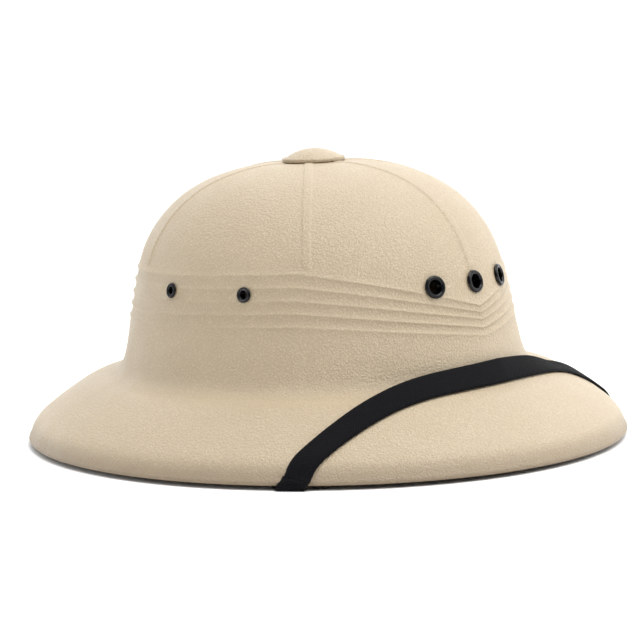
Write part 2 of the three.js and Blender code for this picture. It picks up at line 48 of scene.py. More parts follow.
# The shell's outer face: each level section is an ellipse. Heights are from the rim's lower edge.
SECTION_COLUMNS = ("height", "half_length", "half_width", "middle")
SECTIONS = np.array([
    (0.0, 158.3, 134.1, 0.0),
    (0.6, 158.8, 134.6, 0.0),
    (1.3, 159.0, 134.8, 0.0),
    (2.0, 158.8, 134.6, 0.0),
    (2.8, 158.3, 134.1, 0.0),
    (5.5, 157.2, 133.1, 0.0),
    (8.0, 155.9, 132.0, -0.1),
    (10.6, 153.8, 130.2, -0.2),
    (16.0, 147.2, 124.4, -0.4),
    (24.0, 135.3, 113.9, -0.8),
    (28.4, 127.8, 107.3, -1.1),
    (30.6, 122.6, 102.7, -1.3),
    (32.2, 115.4, 96.4, -1.5),
    (34.8, 110.0, 91.6, -1.6),
    (38.0, 107.5, 89.6, -1.6),
    (42.0, 106.0, 88.4, -1.6),
    (50.0, 104.0, 86.8, -1.7),
    (59.0, 102.3, 85.3, -1.7),
    (72.5, 99.5, 83.0, -1.8),
    (85.0, 96.4, 80.4, -1.9),
    (98.0, 91.2, 76.0, -2.0),
    (108.0, 84.3, 70.3, -2.2),
    (117.5, 74.2, 61.9, -2.3),
    (125.0, 61.6, 51.5, -2.4),
    (131.0, 43.3, 37.0, -2.5),
    (133.5, 29.0, 26.0, -2.5),
    (134.2, 16.6, 16.6, -2.5),
    (134.2, 4.4, 4.4, -2.5),
])
WALL = 2.2
RIM_BASE_WIDTH = 2.4
CROWN_TOP = 134.2
CROWN_MIDDLE = -2.5

# Ridges of the moulded folds: height at the sides and at the front.
FOLDS = np.array([(88.0, 67.3), (81.9, 64.2), (75.8, 61.0), (69.9, 57.1), (64.0, 53.6)])
FOLD_SPAN = math.radians(60)
FOLD_REAR_DROP = 2.5
FOLD_RAISE = 0.55
FOLD_SINK = 0.35
FOLD_MARGIN = 3.0

RIB_ANGLES = (-123, -57, 0, 57, 123, 180)
RIB_RAISE = 0.45
RIB_HALF_WIDTH = 2.5
RIB_OFFSETS = (-3.1, -2.5, -2.2, -1.9, -1.6, -1.2, 0, 1.2, 1.6, 1.9, 2.2, 2.5, 3.1)
RIB_MAX_TURN = math.radians(10)
SECTOR_STEP = 1.25

LARGE_EYELET = {"ring": 5.4, "hole": 3.3, "height": 1.3}
SMALL_EYELET = {"ring": 3.7, "hole": 1.75, "height": 1.1}
EYELET_HEIGHT = 78.7
EYELET_TUBE = 0.5
EYELETS = (
    ("eyelet_front_centre", 0, LARGE_EYELET),
    ("eyelet_front_left", 17.4, LARGE_EYELET),
    ("eyelet_front_right", -17.4, LARGE_EYELET),
    ("eyelet_left_front", 76.1, SMALL_EYELET),
    ("eyelet_left_rear", 103.9, SMALL_EYELET),
    ("eyelet_right_front", -76.1, SMALL_EYELET),
    ("eyelet_right_rear", -103.9, SMALL_EYELET),
)

STRAP_WIDTH = 12.4
STRAP_THICKNESS = 1.3
STRAP_GAP = 0.15
STRAP_SLACK = 0.75
# The strap's middle line crosses the front, seen from above, and bends back on each side to the rim at rim_x.
STRAP_FRONT_Y = -112.5
STRAP_BEND = 30
# At the front the strap stands on its lower edge and leans back: MIDDLE_LEAN degrees from level at the
# middle, and lean degrees at lean_x. From leaning_x to lying_x it eases down to lie on the brim.
STRAP_SIDES = {
    "left": {
        "side": 1, "slope": 0.14, "rim_x": 103, "end_angle": 61,
        "lean": 30, "lean_x": 50, "leaning_x": 20, "lying_x": 85,
    },
    "right": {
        "side": -1, "slope": 0.318, "rim_x": 114, "end_angle": 69,
        "lean": 47, "lean_x": 60, "leaning_x": 55, "lying_x": 108,
    },
}
MIDDLE_LEAN = 57
STRAP_BED_TOP = 86
STRAP_BED_SPARE = 22
PIN_FROM_END = 8
RIM_LIFT = STRAP_THICKNESS + STRAP_GAP + STRAP_SLACK

# ---------- Helpers ----------


def smoothstep(low, high, value):
    share = np.clip((value - low) / (high - low), 0, 1)
    return share * share * (3 - 2 * share)


def curve_through(rows, at, where):
    """Values at the places in where, on a smooth curve that passes through rows at the places in at."""
    slopes = np.gradient(rows, at, axis=0)
    index = np.clip(np.searchsorted(at, where) - 1, 0, len(at) - 2)
    span = (at[index + 1] - at[index])[..., None]
    t = (where - at[index])[..., None] / span
    low, high = rows[index], rows[index + 1]
    start, end = slopes[index] * span, slopes[index + 1] * span
    bend = 2 * t**3 - 3 * t**2
    return (1 + bend) * low + (t**3 - 2 * t**2 + t) * start - bend * high + (t**3 - t**2) * end


def run_along(rows):
    """How far along the outline each row lies, from its height and its mean half size."""
    size = (rows[:, 1] + rows[:, 2]) / 2
    steps = np.hypot(np.diff(rows[:, 0]), np.diff(size))
    return np.concatenate([[0], np.cumsum(steps)])


def ellipse_points(sections, angle):
    x = sections[..., 2] * np.sin(angle)
    y = sections[..., 3] - sections[..., 1] * np.cos(angle)
    z = sections[..., 0] + RIM_LIFT + 0 * x
    return np.stack([x, y, z], -1)


def unit(vectors):
    return vectors / np.linalg.norm(vectors, axis=-1, keepdims=True)


def new_piece(name, points, faces, material, nodes, smooth=True):
    """A mesh object from points in millimetres, standing for the CAD nodes."""
    mesh = bpy.data.meshes.new(name)
    mesh.from_pydata((np.asarray(points) * MM).tolist(), [], faces)
    mesh.polygons.foreach_set("use_smooth", [smooth] * len(mesh.polygons))
    mesh.materials.append(material)
    piece = bpy.data.objects.new(name, mesh)
    bpy.context.scene.collection.objects.link(piece)
    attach(piece, "root")
    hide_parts(*nodes)
    return piece


def grid_faces(rows, columns, close_rows, close_columns):
    row_count = rows if close_rows else rows - 1
    column_count = columns if close_columns else columns - 1
    faces = []
    for i in range(row_count):
        near, far = i * columns, ((i + 1) % rows) * columns
        for j in range(column_count):
            k = (j + 1) % columns
            faces.append((near + j, near + k, far + k, far + j))
    return faces


def turned(outline, segments):
    """Points and faces of a closed ring or solid turned about Z, from [radius, height] pairs."""
    outline = np.array(outline, float)
    turn = np.linspace(0, 2 * math.pi, segments, endpoint=False)
    x = outline[:, None, 0] * np.cos(turn)
    y = outline[:, None, 0] * np.sin(turn)
    z = np.repeat(outline[:, None, 1], segments, 1)
    return np.stack([x, y, z], -1).reshape(-1, 3)


def rounded(centre, radius, start, end, steps):
    """Points on an arc, as [radius, height] pairs. Angles are in degrees."""
    turns = np.radians(np.linspace(start, end, steps))
    return [(centre[0] + radius * math.cos(a), centre[1] + radius * math.sin(a)) for a in turns]


# ---------- Shape of the shell ----------

RUN = run_along(SECTIONS)
FINE_RUN = np.linspace(0, RUN[-1], 3000)
FINE_SECTIONS = curve_through(SECTIONS, RUN, FINE_RUN)
CROWN = (FINE_SECTIONS[:, 0] > 30) & (FINE_RUN < RUN[-2])
CROWN_HEIGHTS = np.maximum.accumulate(FINE_SECTIONS[CROWN, 0])
CROWN_RUNS = FINE_RUN[CROWN]


def run_at_height(height):
    return np.interp(height, CROWN_HEIGHTS, CROWN_RUNS)


def plain_point(run, angle):
    run = np.clip(run, 0, RUN[-1])
    return ellipse_points(curve_through(SECTIONS, RUN, run), angle)


def plain_normal(run, angle):
    step = 0.25
    up = plain_point(run + step, angle) - plain_point(run - step, angle)
    turn = 0.002
    round_ = plain_point(run, angle + turn) - plain_point(run, angle - turn)
    return unit(np.cross(round_, up))


def fold_heights(angle):
    """Heights of the five ridges at each angle, the highest first, on a new last axis."""
    turn = np.abs(angle)[..., None]
    share = np.sin(np.minimum(turn, FOLD_SPAN)) / math.sin(FOLD_SPAN)
    side, front = FOLDS[:, 0], FOLDS[:, 1]
    drop = FOLD_REAR_DROP * smoothstep(FOLD_SPAN, 2 * FOLD_SPAN, turn)
    return front + (side - front) * share - drop


def fold_band_height(place, angle):
    """Height at a place in the band of folds: 0 is the lowest ridge, 4 the highest."""
    ridges = fold_heights(angle)[..., ::-1]
    index = np.clip(np.floor(place).astype(int), 0, 3)
    low = np.take_along_axis(ridges, index[..., None], -1)[..., 0]
    high = np.take_along_axis(ridges, index[..., None] + 1, -1)[..., 0]
    inside = low + (high - low) * np.clip(place - index, 0, 1)
    below = np.minimum(place, 0) * FOLD_MARGIN / 0.5
    above = np.maximum(place - 4, 0) * FOLD_MARGIN / 0.5
    return inside + below + above


def fold_relief(place):
    """How far the folds stand off the plain crown: narrow ridges with hollow valleys between them."""
    inside = np.abs((place % 1) - 0.5) * 2
    scallop = -FOLD_SINK + (FOLD_RAISE + FOLD_SINK) * inside**2.6
    outside = np.maximum(np.maximum(-place, place - 4), 0) / 0.5
    tail = FOLD_RAISE * np.clip(1 - outside, 0, 1) ** 2.2
    return np.where((place >= 0) & (place <= 4), scallop, tail)


def eyelet_distance(points):
    """Distance from each point to the nearest vent hole's middle, over its ring's radius."""
    nearest = np.full(points.shape[:-1], 1e9)
    for _, degrees, size in EYELETS:
        run = run_at_height(np.array(EYELET_HEIGHT))
        middle = plain_point(run, np.array(math.radians(degrees)))
        nearest = np.minimum(nearest, np.linalg.norm(points - middle, axis=-1) - size["ring"])
    return nearest


def column_table():
    """Columns of the shell's grid: rib angle, next rib's angle, offset in mm from the rib, and share."""
    columns = []
    for index, rib in enumerate(RIB_ANGLES):
        after = RIB_ANGLES[index + 1] if index + 1 < len(RIB_ANGLES) else RIB_ANGLES[0] + 360
        columns += [(rib, after, offset, 0) for offset in RIB_OFFSETS]
        steps = round((after - rib) / SECTOR_STEP)
        columns += [(rib, after, RIB_OFFSETS[-1], step / steps) for step in range(1, steps)]
    return np.array(columns)


def column_angles(columns, sections):
    """Angle of every column at every row's mean section, as rows by columns."""
    def reach(angle, offset):
        speed = np.hypot(sections[:, None, 2] * np.cos(angle), sections[:, None, 1] * np.sin(angle))
        return np.clip(offset / speed, -RIB_MAX_TURN, RIB_MAX_TURN)
    start, end = np.radians(columns[:, 0]), np.radians(columns[:, 1])
    first = start + reach(start, columns[:, 2])
    last = end - reach(end, RIB_OFFSETS[-1])
    angle = first + (last - first) * columns[:, 3]
    return np.where(angle > math.pi, angle - 2 * math.pi, angle)


def outer_grid(columns):
    """Points of the shell's outer face, from the rim's foot up to the hole for the button's stud."""
    band = np.linspace(-0.5, 4.5, 71)
    low_runs = np.concatenate([
        np.linspace(0, RUN[4], 9)[:-1],
        np.linspace(RUN[4], RUN[8], 16)[:-1],
        np.linspace(RUN[8], run_at_height(50.0), 34),
    ])
    top_start = run_at_height(98.0)
    top_runs = np.concatenate([np.linspace(top_start, RUN[-2], 44), np.linspace(RUN[-2], RUN[-1], 4)[1:]])
    rib_distance = np.where(columns[:, 3] == 0, np.abs(columns[:, 2]), 9)
    rib_shape = RIB_RAISE * (1 - smoothstep(1.5, RIB_HALF_WIDTH, rib_distance))

    def rows_at(run_rows, relief_rows, mean_heights):
        mean = curve_through(SECTIONS, RUN, mean_heights)
        angle = column_angles(columns, mean)
        run = run_rows(angle)
        point = plain_point(run, angle)
        relief = relief_rows(angle, point)
        clear = smoothstep(0.4, 2.6, eyelet_distance(point))
        dish = -0.22 * (1 - smoothstep(0.2, 3.0, eyelet_distance(point)))
        return point + plain_normal(run, angle) * (relief * clear + dish)[..., None]

    def plain(runs, rib):
        return rows_at(
            lambda angle: np.repeat(runs[:, None], len(columns), 1),
            lambda angle, point: np.zeros(angle.shape) + rib * rib_shape,
            runs,
        )

    def between(share, low, high, rib):
        """Rows between two lines round the crown, each a height at every angle."""
        share = share[:, None]

        def run_rows(angle):
            return run_at_height(low(angle) + (high(angle) - low(angle)) * share)

        def relief_rows(angle, point):
            height = low(angle) + (high(angle) - low(angle)) * share
            rise = height - fold_heights(angle)[..., 0]
            start = smoothstep(0.5, 4.0, rise - 0.35 * rib_distance**1.5)
            return rib * rib_shape * start
        middle = (low(np.array(1.0)) + high(np.array(1.0))) / 2
        return rows_at(run_rows, relief_rows, run_at_height(np.full(len(share), middle)))

    def line(place):
        return lambda angle: fold_band_height(np.full(np.shape(angle), float(place)), np.asarray(angle))

    folds = rows_at(
        lambda angle: run_at_height(fold_band_height(np.repeat(band[:, None], len(columns), 1), angle)),
        lambda angle, point: np.repeat(fold_relief(band)[:, None], len(columns), 1),
        run_at_height(np.linspace(60, 90, len(band))),
    )
    below = between(np.linspace(0, 1, 8)[1:-1], lambda angle: 50.0 + 0 * angle, line(-0.5), 0)
    above = between(np.linspace(0, 1, 18)[1:-1], line(4.5), lambda angle: 98.0 + 0 * angle, 1)
    return np.concatenate([plain(low_runs, 0), below, folds, above, plain(top_runs, 1)])


def inner_grid(columns):
    """Points of the shell's inner face, from the stud's hole down to the rim."""
    runs = np.concatenate([
        [RUN[-1]],
        np.linspace(RUN[-2], run_at_height(45.0), 30),
        np.linspace(run_at_height(45.0), RUN[6], 24)[1:],
    ])
    angle = column_angles(columns, curve_through(SECTIONS, RUN, runs))
    run = np.repeat(runs[:, None], len(columns), 1)
    points = plain_point(run, angle) - WALL * plain_normal(run, angle)
    foot = SECTIONS[:1] - np.array([0, RIM_BASE_WIDTH, RIM_BASE_WIDTH, 0])
    foot_points = ellipse_points(foot[:, None, :], column_angles(columns, foot))
    return np.concatenate([points, foot_points])


def eyelet_matrix(degrees):
    """A frame on the crown's face at a vent hole, with its Z outwards."""
    run = run_at_height(np.array(EYELET_HEIGHT))
    angle = np.array(math.radians(degrees))
    outward = Vector(plain_normal(run, angle))
    side = Vector((0, 0, 1)).cross(outward).normalized()
    up = outward.cross(side)
    matrix = Matrix((side, up, outward)).transposed().to_4x4()
    matrix.translation = Vector(plain_point(run, angle)) * MM
    return matrix


def cut_holes(shell):
    """Cuts the vent holes through the shell."""
    cutter_mesh = bpy.data.meshes.new("hole_cutters")
    cutters = bmesh.new()
    for _, degrees, size in EYELETS:
        radius = (size["hole"] + EYELET_TUBE + 0.3) * MM
        bmesh.ops.create_cone(
            cutters, cap_ends=True, segments=48, radius1=radius, radius2=radius, depth=12 * MM,
            matrix=eyelet_matrix(degrees),
        )
    cutters.to_mesh(cutter_mesh)
    cutters.free()
    cutter = bpy.data.objects.new("hole_cutters", cutter_mesh)
    bpy.context.scene.collection.objects.link(cutter)
    cut = shell.modifiers.new("holes", "BOOLEAN")
    cut.operation = "DIFFERENCE"
    cut.solver = "EXACT"
    cut.object = cutter
    graph = bpy.context.evaluated_depsgraph_get()
    mesh = bpy.data.meshes.new_from_object(shell.evaluated_get(graph))
    shell.modifiers.clear()
    shell.data = mesh
    bpy.data.objects.remove(cutter)


def make_shell(material):
    columns = column_table()
    points = np.concatenate([outer_grid(columns), inner_grid(columns)])
    rows = len(points)
    faces = grid_faces(rows, len(columns), True, True)
    shell = new_piece("helmet_shell", points.reshape(-1, 3), faces, material, ["shell"])
    cut_holes(shell)
    return shell


# ---------- Button, vent rings and pins ----------


def make_turned(name, outline, segments, matrix, material, is_ring=False):
    """A turned piece. An outline that isn't a ring starts and ends next to the axis."""
    points = turned(outline, segments)
    rows = len(outline)
    faces = grid_faces(rows, segments, is_ring, True)
    if not is_ring:
        faces.append(tuple(range(segments))[::-1])
        faces.append(tuple(range((rows - 1) * segments, rows * segments)))
    piece = new_piece(f"{name}_finished", points, faces, material, [name])
    piece.data.transform(matrix)
    return piece


def make_button(material):
    radius, height, edge = 15.5, 6.6, 1.1
    sphere = (radius**2 + (height - edge) ** 2) / (2 * (height - edge))
    lean = math.degrees(math.asin(radius / sphere))
    seat = 0.3
    outline = [(0.05, -3.7), (5.0, -3.7), (5.5, -3.2), (5.5, -2.5), (4.0, -2.5), (4.0, seat), (14.9, seat)]
    outline += rounded((14.9, seat + 0.6), 0.6, -90, 0, 6)[1:]
    outline += rounded((14.3, edge + 0.3), 1.2, 0, 90 - lean, 7)
    cap = rounded((0, height - sphere), sphere, 90 - lean * 0.93, 89.8, 26)
    outline += cap
    matrix = Matrix.Translation((0, CROWN_MIDDLE * MM, (CROWN_TOP + RIM_LIFT) * MM))
    return make_turned("crown_button", outline, 128, matrix, material)


def eyelet_outline(size):
    """A rolled ring: a round-topped flange, a tube through the shell and a plain flange inside."""
    tube = size["hole"] + EYELET_TUBE
    inside = -WALL - 0.9
    crest = (size["hole"] + size["ring"]) / 2
    half = (size["ring"] - size["hole"]) / 2
    turns = np.radians(np.linspace(-10, 190, 25))
    rolled = [(crest + half * math.cos(a), 0.35 + (size["height"] - 0.35) * math.sin(a)) for a in turns]
    back = (tube + size["ring"]) / 2 + 0.3
    return rolled + [
        (size["hole"], -0.2),
        (size["hole"], inside - 0.4),
        (size["hole"] + 0.3, inside - 0.6),
        (back - 0.3, inside - 0.6),
        (back, inside - 0.3),
        (back - 0.1, inside),
        (tube, inside),
        (tube, 0.15),
        (size["ring"] - 0.3, 0.15),
    ]


def make_eyelets(material):
    for name, degrees, size in EYELETS:
        outline = eyelet_outline(size)[::-1]
        make_turned(name, outline, 64, eyelet_matrix(degrees), material, is_ring=True)


# ---------- Chin strap ----------


def offset_rows(rows, distance):
    """Sections moved square to the face that they outline."""
    run = np.gradient(rows[:, 1] + rows[:, 2])
    rise = 2 * np.gradient(rows[:, 0])
    length = np.hypot(run, rise)
    moved = rows.copy()
    moved[:, 0] -= distance * run / length
    moved[:, 1] += distance * rise / length
    moved[:, 2] += distance * rise / length
    return moved


def strap_bed():
    """Sections of the face that the strap's middle layer follows, from the crown, over the brim, round the
    rim, straight under the brim, and up the crown's inner face."""
    stand = STRAP_GAP + STRAP_THICKNESS / 2
    room = stand + STRAP_SLACK
    outer_runs = np.linspace(run_at_height(59.0), RUN[4], 70)
    outer = offset_rows(curve_through(SECTIONS, RUN, outer_runs)[::-1], stand)[::-1]
    inside_edge = SECTIONS[0] - np.array([0, RIM_BASE_WIDTH, RIM_BASE_WIDTH, 0])
    edges = ((SECTIONS[2], (0,)), (SECTIONS[0], (-30, -60, -90)), (inside_edge, (-90, -120)))
    wrap = []
    for section, turns in edges:
        for turn in turns:
            outward = room * math.cos(math.radians(turn))
            rise = room * math.sin(math.radians(turn))
            wrap.append(section + np.array([rise, outward, outward, 0]))
    inner_runs = np.linspace(RUN[11], run_at_height(STRAP_BED_TOP), 60)
    inner = offset_rows(curve_through(SECTIONS, RUN, inner_runs), -WALL - room)
    first = np.argmax(inner[:, 0] > 27)
    return np.concatenate([outer, wrap, inner[first:]])


BED = strap_bed()
BED_RUN = run_along(BED)
RIM_INDEX = int(np.argmax(BED[:, 1]))
RIM_RUN = BED_RUN[RIM_INDEX]


def bed_point(along, angle):
    return ellipse_points(curve_through(BED, BED_RUN, along), angle)


def bed_steps(along, angle):
    """How a point moves on the bed with distance along it and with angle, and the outward normal."""
    step, turn = 0.8, 0.008
    forward = (bed_point(along + step, angle) - bed_point(along - step, angle)) / (2 * step)
    round_ = (bed_point(along, angle + turn) - bed_point(along, angle - turn)) / (2 * turn)
    return forward, round_, unit(np.cross(forward, round_))


def place_above(x, y):
    """Places on the outer part of the bed at x and y, seen from above."""
    low, high = np.zeros(len(x)), np.full(len(x), RIM_RUN)
    for _ in range(50):
        middle = (low + high) / 2
        section = curve_through(BED, BED_RUN, middle)
        outside = np.hypot(x / section[:, 2], (y - section[:, 3]) / section[:, 1]) > 1
        low, high = np.where(outside, middle, low), np.where(outside, high, middle)
    section = curve_through(BED, BED_RUN, low)
    return low, np.arctan2(x / section[:, 2], -(y - section[:, 3]) / section[:, 1])


def strap_line(half):
    """Half of the strap's middle line, worked out on the wearer's left, as places on the bed."""
    share = np.linspace(0, 1, 190)
    x = half["rim_x"] * (1 - (1 - share) ** 1.3)
    y = STRAP_FRONT_Y + half["slope"] * (np.hypot(x, STRAP_BEND) - STRAP_BEND)
    along, angle = place_above(x, y)
    length = BED_RUN[-1] - STRAP_BED_SPARE - along[-1]
    turn = math.radians(half["end_angle"]) - angle[-1]
    run = np.concatenate([np.linspace(0, 22, 60)[1:], np.linspace(22, length, 110)[1:]])
    along = np.concatenate([along, along[-1] + run])
    angle = np.concatenate([angle, angle[-1] + turn * (1 - (1 - run / length) ** 2)])
    return along, angle


def dot(a, b):
    return (a * b).sum(-1)


def strap_lean(half, x, bed_lean):
    """How far the strap leans back from level at a distance x from the middle."""
    lean = np.radians(MIDDLE_LEAN + (half["lean"] - MIDDLE_LEAN) * np.minimum(x / half["lean_x"], 1))
    hold = 1 - smoothstep(half["leaning_x"], half["lying_x"], x)
    return bed_lean + np.maximum(lean - bed_lean, 0) * hold


def strap_layer(half):
    """Half of the strap's middle layer: points and normals, stations by places across."""
    along, angle = strap_line(half)
    forward, round_, normal = bed_steps(along, angle)
    tangent = unit(np.gradient(bed_point(along, angle), axis=0))
    across = unit(np.cross(normal, tangent))
    aa, ar, rr = dot(forward, forward), dot(forward, round_), dot(round_, round_)
    da, dr = dot(across, forward), dot(across, round_)
    scale = aa * rr - ar * ar
    along_rate, round_rate = (da * rr - dr * ar) / scale, (dr * aa - da * ar) / scale
    half_width = STRAP_WIDTH / 2

    def on_bed(offset):
        offset = np.broadcast_to(offset, (np.shape(offset)[0], len(along)))
        return along + along_rate * offset, angle + round_rate * offset

    left, right = (bed_point(*on_bed(np.full((1, 1), sign * half_width)))[0] for sign in (1, -1))
    spread = np.linalg.norm(left - right, axis=-1)
    past_rim = (along - RIM_RUN) / half_width
    on_bead = smoothstep(-2.2, -1, past_rim) * (1 - smoothstep(2, 3, past_rim))
    reach = half_width * (STRAP_WIDTH / spread * (1 - on_bead) + on_bead)
    upper, lower = (bed_point(*on_bed(sign * reach[None]))[0] for sign in (1, -1))
    chord = upper - lower
    width = np.linalg.norm(chord, axis=-1)
    bed_lean = np.arcsin(chord[:, 2] / width)
    lean = np.where(along < RIM_RUN, strap_lean(half, lower[:, 0], bed_lean), bed_lean)
    level = unit(chord * (1, 1, 0)) * (width * np.cos(lean))[:, None]
    raised = level + np.stack([0 * width, 0 * width, width * np.sin(lean)], -1)
    chord = np.where((lean > bed_lean)[:, None], raised, chord)
    flatness = smoothstep(0, 0.1, lean - bed_lean)[:, None]
    slant = unit(chord)
    share = np.linspace(0, 1, STRAP_COLUMNS)[:, None]
    place = on_bed(reach * (1 - 2 * share))
    base = bed_point(*place)
    outward = bed_steps(*place)[2]
    straight = lower + chord * (1 - share[..., None])
    push = np.maximum(dot(base - straight, outward), 0)
    points = straight + outward * push[..., None]
    outward = unit(outward - slant * flatness * dot(outward, slant)[..., None])
    return points.transpose(1, 0, 2), outward.transpose(1, 0, 2)


STRAP_COLUMNS = 15


def make_strap(material):
    points, outward = strap_layer(STRAP_SIDES["left"])
    right_points, right_outward = strap_layer(STRAP_SIDES["right"])
    mirror = np.array([-1, 1, 1])
    points = np.concatenate([right_points[:0:-1] * mirror, points])
    outward = np.concatenate([right_outward[:0:-1] * mirror, outward])
    share = np.linspace(-1, 1, STRAP_COLUMNS)
    half = STRAP_THICKNESS / 2
    edge = np.sqrt(np.clip(1 - np.clip((np.abs(share) - 0.9) / 0.1, 0, 1) ** 2, 0, 1)) * 0.85 + 0.15
    rib = 1 - 0.1 * (np.abs(np.abs(share) - 0.78) < 0.06)
    thick = (half * edge * rib)[None, :, None]
    top = points + outward * thick
    bottom = points - outward * thick
    loops = np.concatenate([top, bottom[:, ::-1]], 1)
    loops[..., 2] = np.maximum(loops[..., 2], 0)
    stations, count = loops.shape[:2]
    faces = grid_faces(stations, count, False, True)
    faces.append(tuple(range(count)))
    faces.append(tuple(range((stations - 1) * count, stations * count))[::-1])
    faces = [face[::-1] for face in faces]
    strap = new_piece("chin_strap_webbing", loops.reshape(-1, 3), faces, material, ["chin_strap"])
    steps = np.linalg.norm(np.diff(points[:, STRAP_COLUMNS // 2], axis=0), axis=-1)
    travelled = np.concatenate([[0], np.cumsum(steps)])
    position = np.concatenate([share, share[::-1]]) * STRAP_WIDTH / 2
    uv = np.stack([np.repeat(travelled, count), np.tile(position, stations)], -1) * MM
    layer = strap.data.uv_layers.new(name="webbing")
    loops_of = np.zeros(len(strap.data.loops), int)
    strap.data.loops.foreach_get("vertex_index", loops_of)
    layer.data.foreach_set("uv", uv[loops_of].ravel())
    return strap


def make_pins(material):
    face = STRAP_THICKNESS / 2 + 0.45
    outline = [(0.05, -2.5), (1.7, -2.5), (1.7, face), (4.3, face)]
    outline += rounded((4.2, face + 0.3), 0.3, -90, 20, 5)[1:]
    turns = np.radians(np.linspace(8, 89, 14))
    outline += [(4.5 * math.cos(a), face + 0.35 + 0.85 * math.sin(a)) for a in turns]
    for name, half in STRAP_SIDES.items():
        along, angle = strap_line(half)
        point = bed_point(along[-1] - PIN_FROM_END, angle[-1])
        outward = bed_steps(along[-1] - PIN_FROM_END, angle[-1])[2]
        mirror = Vector((half["side"], 1, 1))
        normal = Vector(outward) * mirror
        across = Vector((0, 0, 1)).cross(normal).normalized()
        matrix = Matrix((across, normal.cross(across), normal)).transposed().to_4x4()
        matrix.translation = Vector(point) * mirror * MM
        make_turned(f"strap_pin_{name}", outline, 48, matrix, material)


# ---------- Materials ----------


class Shader:
    """A node material with short ways to add and join its nodes."""

    def __init__(self, name):
        self.material = bpy.data.materials.new(name)
        self.material.use_nodes = True
        self.nodes = self.material.node_tree.nodes
        self.surface = self.nodes["Principled BSDF"]

    def add(self, kind, inputs=None, **settings):
        node = self.nodes.new(kind)
        for key, value in settings.items():
            setattr(node, key, value)
        for key, value in (inputs or {}).items():
            self.join(value, node.inputs[key])
        return node

    def join(self, value, socket):
        if isinstance(value, bpy.types.NodeSocket):
            self.material.node_tree.links.new(value, socket)
        else:
            socket.default_value = value

    def set(self, **values):
        for key, value in values.items():
            self.join(value, self.surface.inputs[key.replace("_", " ")])

    def noise(self, place, scale, detail=2.0, roughness=0.5):
        inputs = {"Vector": place, "Scale": scale, "Detail": detail, "Roughness": roughness}
        return self.add("ShaderNodeTexNoise", inputs).outputs["Fac"]

    def remap(self, value, low, high, to_low, to_high):
        inputs = {"Value": value, "From Min": low, "From Max": high, "To Min": to_low, "To Max": to_high}
        return self.add("ShaderNodeMapRange", inputs).outputs["Result"]

    def math(self, operation, first, second):
        node = self.add("ShaderNodeMath", operation=operation)
        self.join(first, node.inputs[0])
        self.join(second, node.inputs[1])
        return node.outputs[0]

    def mix(self, factor, first, second):
        node = self.add("ShaderNodeMix", data_type="RGBA")
        self.join(factor, node.inputs["Factor"])
        self.join(first, node.inputs["A"])
        self.join(second, node.inputs["B"])
        return node.outputs["Result"]

    def bump(self, height, distance, strength, normal=None):
        inputs = {"Height": height, "Distance": distance, "Strength": strength}
        if normal is not None:
            inputs["Normal"] = normal
        return self.add("ShaderNodeBump", inputs).outputs["Normal"]


def moulded_shell():
    """Khaki moulded plastic with a fine pebbled grain and faint clouding, and painted shade towards the rim's
    foot.
    """
    shader = Shader("khaki_moulded_shell")
    place = shader.add("ShaderNodeTexCoord").outputs["Object"]
    cells = shader.add("ShaderNodeTexVoronoi", {"Vector": place, "Scale": 1000.0}, feature="SMOOTH_F1")
    pebble = shader.math("SUBTRACT", 1.0, cells.outputs["Distance"])
    fine = shader.noise(place, 1500.0, 3.0, 0.6)
    grain = shader.math("ADD", shader.math("MULTIPLY", pebble, 0.6), shader.math("MULTIPLY", fine, 0.8))
    clouds = shader.remap(shader.noise(place, 22.0, 3.0), 0.35, 0.65, 0.0, 1.0)
    base = shader.mix(clouds, (0.545, 0.448, 0.308, 1), (0.585, 0.484, 0.336, 1))
    speckle = shader.remap(grain, 0.75, 1.15, 0.2, 1.0)
    grained = shader.mix(speckle, (0.385, 0.298, 0.188, 1), base)
    height = shader.add("ShaderNodeSeparateXYZ", {"Vector": place}).outputs["Z"]
    # Painted shade: the colour darkens to a dark brown towards the rim's foot, inside and out.
    foot = shader.remap(height, 0.0035, 0.0125, 0.9, 0.0)
    colour = shader.mix(foot, grained, (0.235, 0.170, 0.100, 1))
    rough = shader.remap(shader.noise(place, 60.0), 0.3, 0.7, 0.40, 0.50)
    waves = shader.bump(shader.noise(place, 70.0, 2.0), 0.0002, 0.35)
    normal = shader.bump(grain, 0.0007, 1.0, waves)
    shader.set(Base_Color=colour, Roughness=rough, Normal=normal, Specular_IOR_Level=0.9)
    return shader.material


def black_enamel():
    """Gloss black enamel on rolled metal rings, with faint orange peel."""
    shader = Shader("black_enamel")
    place = shader.add("ShaderNodeTexCoord").outputs["Object"]
    peel = shader.bump(shader.noise(place, 900.0), 0.00006, 0.3)
    rough = shader.remap(shader.noise(place, 400.0), 0.3, 0.7, 0.07, 0.13)
    shade = shader.remap(shader.noise(place, 300.0), 0.3, 0.7, 0.0, 1.0)
    colour = shader.mix(shade, (0.002, 0.002, 0.002, 1), (0.004, 0.004, 0.005, 1))
    shader.set(Base_Color=colour, Roughness=rough, Normal=peel, Specular_IOR_Level=0.25)
    return shader.material


